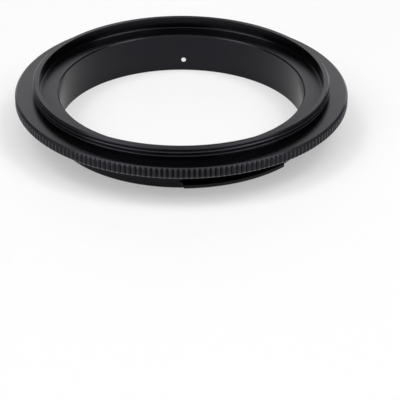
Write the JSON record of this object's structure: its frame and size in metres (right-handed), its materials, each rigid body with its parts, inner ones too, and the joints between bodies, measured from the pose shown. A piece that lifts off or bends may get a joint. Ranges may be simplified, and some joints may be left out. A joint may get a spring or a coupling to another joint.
{
  "type": "macro reverse ring",
  "caption": "Black ring that mounts a lens back to front: threaded collar above, fluted flange to grip, bayonet tube with lugs and a steel stop pin below.",
  "frame": {"origin": "centre of the tube's end face, where the bore's axis meets the plane that the ring rests on", "axes": "+Z along the bore's axis, from the bayonet tube to the threaded collar; +Y through the stop pin"},
  "size_m": [0.065, 0.065, 0.0102],
  "materials": {
    "black_anodised": "turned aluminium, satin black anodised",
    "steel": "bright turned steel"
  },
  "bodies": {
    "root": {"reverse_ring": "black_anodised", "stop_pin": "steel"}
  },
  "joints": []
}
